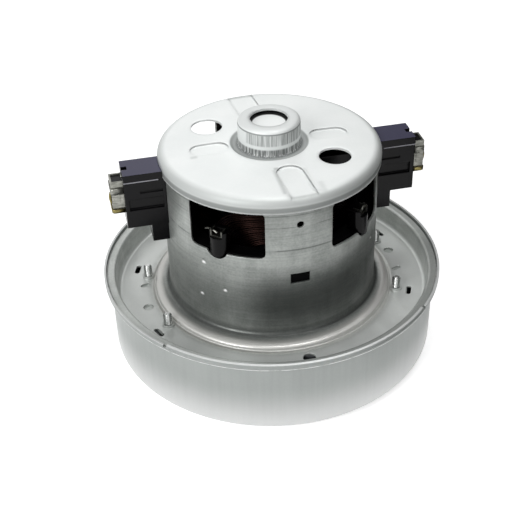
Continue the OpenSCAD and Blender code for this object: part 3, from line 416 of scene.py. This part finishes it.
def addPiece(name, vertices, faces, finish, slot, body, replaced):
    mesh = bpy.data.meshes.new(name)
    mesh.from_pydata(vertices, [], faces)
    mesh.validate()
    for polygon in mesh.polygons:
        polygon.use_smooth = len(polygon.vertices) == 4
    mesh.materials.append(materials[finish])
    piece = bpy.data.objects.new(name, mesh)
    scene.collection.objects.link(piece)
    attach(piece, body)
    if replaced:
        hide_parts(*replaced)
    return piece


# Round wires along paths, each carried on without twist from one point to the next
def wireMesh(paths, radius, sides):
    vertices, faces = [], []
    for path in paths:
        first = len(vertices)
        last = len(path) - 1
        across = None
        for i, point in enumerate(path):
            along = (path[min(i + 1, last)] - path[max(i - 1, 0)]).normalized()
            if across is None:
                across = along.orthogonal()
            across = (across - along * across.dot(along)).normalized()
            up = along.cross(across)
            for k in range(sides):
                turn = 2 * math.pi * k / sides
                vertices.append(point + radius * (math.cos(turn) * across + math.sin(turn) * up))
        for i in range(last):
            for k in range(sides):
                a, b = first + i * sides + k, first + i * sides + (k + 1) % sides
                faces.append((a, b, b + sides, a + sides))
        faces.append(tuple(first + k for k in reversed(range(sides))))
        faces.append(tuple(first + last * sides + k for k in range(sides)))
    return vertices, faces


# Field windings: layers of oblong turns round each pole, wound side by side on a cylinder
fieldWinding = {
    "wireMm": 0.78, "layers": 6, "layerStepMm": 0.98, "turns": 18, "turnPoints": 56, "sides": 7,
    "poleAngle": 29.7, "insetMm": 0.6, "clearMm": 2.0, "wobbleMm": 0.1, "wobbles": 5 / 7, "layerShift": 2.1,
}


# Pulls a sine towards a square wave, which makes the turns oblong with round corners
def squareWave(value):
    return math.copysign(abs(value) ** 0.5, value)


def fieldPaths(look, node):
    low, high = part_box(node)
    stackLow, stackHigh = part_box("stator_stack")
    mid = (stackLow.z + stackHigh.z) / 2
    reach = max(abs(low.y), abs(high.y))
    side = -1 if low.y < -high.y else 1
    inset = look["insetMm"] * mm  # from the solid's box to the middle of its outermost turn
    outer = reach - look["wireMm"] * mm / 2
    poleAngle = math.radians(look["poleAngle"])
    sideAngle = math.asin((high.x - inset) / (reach - inset))
    firstRise = (stackHigh.z - stackLow.z) / 2 + look["clearMm"] * mm
    lastUp, lastDown = high.z - mid - inset, mid - low.z - inset
    paths = []
    for layer in range(look["layers"]):
        radius = outer - layer * look["layerStepMm"] * mm
        path = []
        for i in range(look["turns"] * look["turnPoints"] + 1):
            turn = i / look["turnPoints"]
            share = turn / look["turns"]
            wave = 2 * math.pi * turn
            wobble = look["wobbleMm"] * mm * math.sin(look["wobbles"] * wave + look["layerShift"] * layer)
            angle = squareWave(math.cos(wave)) * (poleAngle + (sideAngle - poleAngle) * share)
            rise = squareWave(math.sin(wave))
            reachUp = lastUp if rise > 0 else lastDown
            height = rise * (firstRise + (reachUp - firstRise) * share) + wobble
            here = radius - abs(wobble)
            x, y = -side * here * math.sin(angle), side * here * math.cos(angle)
            path.append(Vector((x, y, mid + height)))
        paths.append(path)
    return paths


for end in ("front", "rear"):
    winding, core = "field_winding_" + end, "field_coil_" + end
    paths = fieldPaths(fieldWinding, winding)
    wires = wireMesh(paths, fieldWinding["wireMm"] * mm / 2, fieldWinding["sides"])
    addPiece("fieldWinding_" + end, *wires, "wire", "copper_wire", "root", [winding, core])
print("field windings: 2 of", fieldWinding["layers"] * fieldWinding["turns"], "turns")


# Armature coils: bundles that leave each slot and lie round the end of the stack
armature = {
    "slots": 12, "span": 5, "bundleMm": 0.95, "strands": 3, "points": 20, "sides": 8, "slotShare": 0.74,
    "strandTurn": 0.05, "lift": 0.25, "strandLift": 0.25, "slotLift": 0.2,
    "outBundles": 1.3, "inBundles": 1.9, "slotReach": (-0.02, 0.5, 1.02),
}


def armaturePaths(look):
    stackLow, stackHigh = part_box("armature_stack")
    coilLow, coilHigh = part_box("armature_winding")
    slotRadius = look["slotShare"] * stackHigh.x
    bundle = look["bundleMm"] * mm
    step = 2 * math.pi / look["slots"]
    paths = []
    for stackEnd, coilEnd in ((stackHigh.z, coilHigh.z), (stackLow.z, coilLow.z)):
        out = math.copysign(1, coilEnd - stackEnd)
        room = abs(coilEnd - stackEnd) - bundle
        for slot in range(look["slots"]):
            for strand in range(look["strands"]):
                path = []
                for i in range(look["points"] + 1):
                    share = i / look["points"]
                    angle = step * (slot + look["span"] * share) + look["strandTurn"] * strand
                    swell = math.sin(math.pi * share)
                    lift = look["lift"] + look["strandLift"] * strand + look["slotLift"] * (slot % 2)
                    height = stackEnd + out * room * lift * swell ** 0.5
                    radius = slotRadius + bundle * (look["outBundles"] - look["inBundles"] * strand * swell)
                    path.append(Vector((radius * math.cos(angle), radius * math.sin(angle), height)))
                paths.append(path)
    for slot in range(look["slots"]):
        angle = step * slot
        foot = Vector((slotRadius * math.cos(angle), slotRadius * math.sin(angle), stackLow.z))
        up = Vector((0, 0, stackHigh.z - stackLow.z))
        paths.append([foot + share * up for share in look["slotReach"]])
    return paths


wires = wireMesh(armaturePaths(armature), armature["bundleMm"] * mm, armature["sides"])
addPiece("armatureCoils", *wires, "wire", "copper_wire", "rotor", ["armature_winding"])
print("armature coils:", armature["slots"] * armature["strands"], "bundles at each end")


# Brush springs: helical springs that press the brushes to the commutator
brushSpring = {"wireMm": 0.5, "turns": 9, "turnPoints": 24, "sides": 10, "keep": 0.42}


def springPath(look, node):
    low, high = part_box(node)
    wire = look["wireMm"] * mm
    middle = (low + high) / 2
    radius = (high.z - low.z - wire) / 2
    count = look["turns"] * look["turnPoints"]
    path = []
    for i in range(count + 1):
        share = i / count
        turn = 2 * math.pi * look["turns"] * share
        path.append(Vector((
            low.x + wire / 2 + share * (high.x - low.x - wire),
            middle.y + radius * math.cos(turn), middle.z + radius * math.sin(turn)
        )))
    return path


for side, outward in (("left", -1), ("right", 1)):
    node = "brush_spring_" + side
    wires = wireMesh([springPath(brushSpring, node)], brushSpring["wireMm"] * mm / 2, brushSpring["sides"])
    spring = addPiece("brushSpring_" + side, *wires, "steel", "plain_steel", "root", [node])
    low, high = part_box(node)
    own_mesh(spring)
print("brush springs: 2")


# The middle of a node's solids in each of the four quarters round the axis
def quarterMiddles(node):
    places = []
    for xSign in (-1, 1):
        for ySign in (-1, 1):
            points = [v.co for v in nodes[node].data.vertices if v.co.x * xSign > 0 and v.co.y * ySign > 0]
            low = Vector([min(p[k] for p in points) for k in range(3)])
            high = Vector([max(p[k] for p in points) for k in range(3)])
            places.append(((low + high) / 2, low, high))
    return places


# Diffuser screws: rolled thread under a pan head, with a blunt tip
screw = {
    "radiusMm": 1.65, "rootMm": 1.2, "headMm": 3.3, "headTallMm": 2.2, "headFlat": 0.8, "headRoundMm": 0.4,
    "pitchMm": 0.75, "crest": (0.35, 0.5), "crestFoot": 0.85, "tipPitches": 1.2, "tip": 0.75, "sides": 28,
}


def turnedMesh(places, profile, sides):
    vertices, faces = [], []
    rows = len(profile)
    for place in places:
        first = len(vertices)
        for radius, height in profile:
            for k in range(sides):
                turn = 2 * math.pi * k / sides
                vertices.append(place + Vector((radius * math.cos(turn), radius * math.sin(turn), height)))
        for i in range(rows - 1):
            for k in range(sides):
                a, b = first + i * sides + k, first + i * sides + (k + 1) % sides
                faces.append((a, b, b + sides, a + sides))
        faces.append(tuple(first + k for k in reversed(range(sides))))
        faces.append(tuple(first + (rows - 1) * sides + k for k in range(sides)))
    return vertices, faces


def screwProfile(look, tall):
    head, radius, root = look["headMm"] * mm, look["radiusMm"] * mm, look["rootMm"] * mm
    headTop, pitch = look["headTallMm"] * mm, look["pitchMm"] * mm
    crestLow, crestHigh = look["crest"]
    ridge = ((root, 0), (radius, crestLow), (radius, crestHigh), (root, look["crestFoot"]))
    headRound = look["headRoundMm"] * mm
    profile = [(head * look["headFlat"], 0), (head, headRound), (head, headTop), (radius, headTop)]
    height = headTop + pitch
    while height < tall - look["tipPitches"] * pitch:
        profile += [(row, height + share * pitch) for row, share in ridge]
        height += pitch
    return profile + [(root, height), (root * look["tip"], tall)]


screwPlaces = quarterMiddles("diffuser_screws")
feet = [Vector((middle.x, middle.y, low.z)) for middle, low, high in screwPlaces]
screwTall = screwPlaces[0][2].z - screwPlaces[0][1].z
threads = turnedMesh(feet, screwProfile(screw, screwTall), screw["sides"])
addPiece("diffuserScrewThreads", *threads, "zincScrew", "plain_steel", "root", ["diffuser_screws"])
print("screws:", len(feet))

# Bent sheet round each brush terminal: a plated clamp band, a brass liner that shows below it,
# a brass leaf at the end and a plated tail up the holder's end
terminal = {
    "clearMm": 0.02, "cornerMm": 0.8, "bandMm": 0.3, "bandLowMm": 5.2, "bandHighMm": 2.6,
    "linerMm": 0.45, "linerDropMm": 0.4, "linerTallMm": 1.5,
    "leafMm": 0.5, "leafPoints": 10, "leafSides": 8, "leafRootMm": 0.1, "leafBowMm": 0.4,
    "leafAcrossMm": -2.0, "leafDropMm": 4.8, "leafTallMm": 4.6,
    "tailMm": 0.3, "tailHalfMm": 1.1, "tailGapMm": 0.03, "tailRiseMm": 0.2, "tailDropMm": 2.6,
}


# A strip of sheet that stands on a path in plan, thickened to the path's right
def stripMesh(path, low, high, thick):
    vertices, faces = [], []
    last = len(path) - 1
    for i, point in enumerate(path):
        along = (path[min(i + 1, last)] - path[max(i - 1, 0)]).normalized()
        out = Vector((along.y, -along.x, 0)) * thick
        for place, height in ((point, low), (point, high), (point + out, high), (point + out, low)):
            vertices.append(Vector((place.x, place.y, height)))
    for i in range(last):
        for k in range(4):
            a, b = 4 * i + k, 4 * i + (k + 1) % 4
            faces.append((a, b, b + 4, a + 4))
    faces.append((0, 3, 2, 1))
    faces.append(tuple(4 * last + k for k in range(4)))
    return vertices, faces


def terminalPath(inner, outer, halfWidth, corner):
    side = math.copysign(1, outer)
    path = [Vector((inner, side * -halfWidth, 0))]
    middleX = outer - side * corner
    for middleY, first in ((corner - halfWidth, -90), (halfWidth - corner, 0)):
        for step in range(5):
            turn = math.radians(first + 22.5 * step)
            x, y = middleX + side * corner * math.cos(turn), side * (middleY + corner * math.sin(turn))
            path.append(Vector((x, y, 0)))
    return path + [Vector((inner, side * halfWidth, 0))]


for name, side in (("left", -1), ("right", 1)):
    low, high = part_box("brush_terminal_" + name)
    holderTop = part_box("brush_holder_" + name)[1].z
    outer, inner = (low.x, high.x) if side < 0 else (high.x, low.x)
    clear = terminal["clearMm"] * mm
    path = terminalPath(inner, outer + side * clear, high.y + clear, terminal["cornerMm"] * mm)
    bandLow, bandHigh = high.z - terminal["bandLowMm"] * mm, high.z - terminal["bandHighMm"] * mm
    band = stripMesh(path, bandLow, bandHigh, terminal["bandMm"] * mm)
    addPiece("terminalBand_" + name, *band, "tin", "tin_plate", "root", [])
    linerLow = low.z - terminal["linerDropMm"] * mm
    liner = stripMesh(path, linerLow, linerLow + terminal["linerTallMm"] * mm, terminal["linerMm"] * mm)
    addPiece("terminalLiner_" + name, *liner, "brass", "brass_sheet", "root", [])
    leafPath = []
    for i in range(terminal["leafPoints"] + 1):
        share = i / terminal["leafPoints"]
        bow = terminal["leafRootMm"] + terminal["leafBowMm"] * math.sin(math.pi * share)
        drop = terminal["leafDropMm"] + terminal["leafTallMm"] * share
        leafPath.append(Vector((outer + side * bow * mm, terminal["leafAcrossMm"] * mm, high.z - drop * mm)))
    leaf = wireMesh([leafPath], terminal["leafMm"] * mm, terminal["leafSides"])
    addPiece("terminalLeaf_" + name, *leaf, "brass", "brass_sheet", "root", [])
    tailFoot = Vector((inner + side * terminal["tailGapMm"] * mm, 0, 0))
    across = Vector((0, side * terminal["tailHalfMm"] * mm, 0))
    tailLow, tailHigh = high.z + terminal["tailRiseMm"] * mm, holderTop - terminal["tailDropMm"] * mm
    tail = stripMesh([tailFoot - across, tailFoot + across], tailLow, tailHigh, terminal["tailMm"] * mm)
    addPiece("terminalTail_" + name, *tail, "tin", "tin_plate", "root", [])
print("terminal sheet: 8 pieces")

# Ends of the field windings, looped into the clips on their posts
lead = {
    "wireMm": 0.8, "points": 16, "sides": 8, "loopMm": 3.2, "long": 2.2, "arch": 0.3, "sag": 0.6,
    "standOutMm": 0.6, "bendInMm": 3.2,
}
leadPaths = []
loop = lead["loopMm"] * mm
for middle, low, high in quarterMiddles("coil_terminals"):
    out = Vector((middle.x, middle.y, 0)).normalized()
    along = Vector((-out.y, out.x, 0)) * (1 if middle.x * middle.y < 0 else -1)
    path = []
    for i in range(lead["points"] + 1):
        share = i / lead["points"]
        sideways = along * (share * lead["long"] * loop)
        rise = loop * (lead["arch"] * math.sin(math.pi * share) - lead["sag"] * share * share)
        outward = out * ((lead["standOutMm"] - lead["bendInMm"] * share * share) * mm)
        path.append(middle + outward + sideways + Vector((0, 0, rise)))
    leadPaths.append(path)
wires = wireMesh(leadPaths, lead["wireMm"] * mm / 2, lead["sides"])
addPiece("coilLeads", *wires, "tin", "tin_plate", "root", [])
print("coil leads:", len(leadPaths))

# Studio: a pale floor, soft light from above and the left, and the photo's view
studio = {
    "floorSize": 8.0, "floorDropMm": 0.1, "floorColour": "#f4f4f4", "floorGlow": (0.5, 1.0),
    "glowReach": (0.16, 0.6), "skyColour": "#ffffff", "skyStrength": 0.25, "aim": (0, 0, 0.04),
    "lamps": [
        ("keyLamp", (-0.62, -0.46, 0.56), 0.4, 3.7),
        ("topLamp", (0.2, 0.08, 1.0), 0.6, 5.6),
        ("fillLamp", (0.75, -0.35, 0.45), 0.6, 0.2),
    ],
}


# 1 where the camera sees the surface, also in a reflection or through glass, 0 where it only gives light
def seenDirectly(tree):
    path = addNode(tree, "ShaderNodeLightPath", {})
    shiny = addNode(tree, "ShaderNodeMath", {
        0: path.outputs["Is Camera Ray"], 1: path.outputs["Is Glossy Ray"]
    }, operation="MAXIMUM")
    return addNode(tree, "ShaderNodeMath", {
        0: shiny.outputs[0], 1: path.outputs["Is Transmission Ray"]
    }, operation="MAXIMUM").outputs[0]


half = studio["floorSize"] / 2
floorMesh = bpy.data.meshes.new("studioFloor")
corners = [(-half, -half, 0), (half, -half, 0), (half, half, 0), (-half, half, 0)]
floorMesh.from_pydata(corners, [], [(0, 1, 2, 3)])
floor = bpy.data.objects.new("studioFloor", floorMesh)
scene.collection.objects.link(floor)
floor.location.z = cadBox[0].z - studio["floorDropMm"] * mm
floorPaper = bpy.data.materials.new("matt_white_paper")
floorPaper.use_nodes = True
tree = floorPaper.node_tree
tree.nodes.clear()
paper = addNode(tree, "ShaderNodeBsdfDiffuse", {"Color": toLinear(studio["floorColour"])})
glow = addNode(tree, "ShaderNodeEmission", {"Color": toLinear(studio["skyColour"])})
# the paper glows more with distance, so that it meets the white sky without a line
place = addNode(tree, "ShaderNodeTexCoord", {}).outputs["Object"]
away = addNode(tree, "ShaderNodeVectorMath", {0: place}, operation="LENGTH").outputs["Value"]
(nearGlow, farGlow), (nearReach, farReach) = studio["floorGlow"], studio["glowReach"]
rising = addNode(tree, "ShaderNodeMapRange", {
    "Value": away, "From Min": nearReach, "From Max": farReach, "To Min": nearGlow, "To Max": farGlow
}).outputs[0]
glowShare = addNode(tree, "ShaderNodeMath", {0: seenDirectly(tree), 1: rising}, operation="MULTIPLY")
tree.links.new(glowShare.outputs[0], glow.inputs["Strength"])
lit = addNode(tree, "ShaderNodeAddShader", {0: paper.outputs[0], 1: glow.outputs[0]})
addNode(tree, "ShaderNodeOutputMaterial", {"Surface": lit.outputs[0]})
floorMesh.materials.append(floorPaper)

world = bpy.data.worlds.new("studio")
scene.world = world
world.use_nodes = True
tree = world.node_tree
tree.nodes.clear()
skyColour = toLinear(studio["skyColour"])
soft = addNode(tree, "ShaderNodeBackground", {"Color": skyColour, "Strength": studio["skyStrength"]})
white = addNode(tree, "ShaderNodeBackground", {"Color": skyColour, "Strength": 1.0})
sky = addNode(tree, "ShaderNodeMixShader", {0: seenDirectly(tree), 1: soft.outputs[0], 2: white.outputs[0]})
addNode(tree, "ShaderNodeOutputWorld", {"Surface": sky.outputs[0]})

aim = Vector(studio["aim"])
for name, place, size, watts in studio["lamps"]:
    lamp = bpy.data.lights.new(name, "AREA")
    lamp.shape, lamp.size, lamp.energy = "SQUARE", size, watts
    holder = bpy.data.objects.new(name, lamp)
    holder.location = place
    holder.rotation_euler = (aim - Vector(place)).to_track_quat("-Z", "Y").to_euler()
    scene.collection.objects.link(holder)

# A black card beside the object, as photographers set one up. It darkens the right side of the metal,
# casts no shadow and isn't seen by the camera
blackCard = {"x": 0.12, "front": -0.2, "rear": 0.25, "top": 0.35, "colour": "#101010"}
x, front, rear, top = [blackCard[key] for key in ("x", "front", "rear", "top")]
cardMesh = bpy.data.meshes.new("blackCard")
cardMesh.from_pydata([(x, front, 0), (x, rear, 0), (x, rear, top), (x, front, top)], [], [(0, 1, 2, 3)])
card = bpy.data.objects.new("blackCard", cardMesh)
scene.collection.objects.link(card)
card.visible_camera = card.visible_shadow = False
blackPaper = bpy.data.materials.new("matt_black_paper")
blackPaper.use_nodes = True
cardShader = blackPaper.node_tree.nodes["Principled BSDF"]
cardShader.inputs["Base Color"].default_value = toLinear(blackCard["colour"])
cardMesh.materials.append(blackPaper)
print("studio: floor, card and", len(studio["lamps"]), "lamps")

# The photo's view, from a camera fitted to the ellipses of the rim, the can, the cap and the collar
view = {
    "distance": 0.430, "elevation": 35.504, "azimuth": -13.2, "target": (0, 0, rimZ * mm - 3.552 * mm),
    "focalPx": 1054.5, "imagePx": 528, "shiftPx": 7.606, "roll": -1.1035, "sensor": 36.0,
}
elevation, azimuth = math.radians(view["elevation"]), math.radians(view["azimuth"])
back = Vector((
    math.sin(azimuth) * math.cos(elevation), -math.cos(azimuth) * math.cos(elevation), math.sin(elevation)
))
lens = bpy.data.cameras.new("camera")
lens.sensor_width = view["sensor"]
lens.lens = view["sensor"] * view["focalPx"] / view["imagePx"]
lens.shift_x = -view["shiftPx"] / view["imagePx"]
camera = bpy.data.objects.new("camera", lens)
scene.collection.objects.link(camera)
roll = Matrix.Rotation(math.radians(view["roll"]), 4, "Z")
turn = (-back).to_track_quat("-Z", "Y").to_matrix().to_4x4() @ roll
camera.matrix_world = Matrix.Translation(Vector(view["target"]) + back * view["distance"]) @ turn
scene.camera = camera
print("camera:", round(lens.lens, 1), "mm lens")
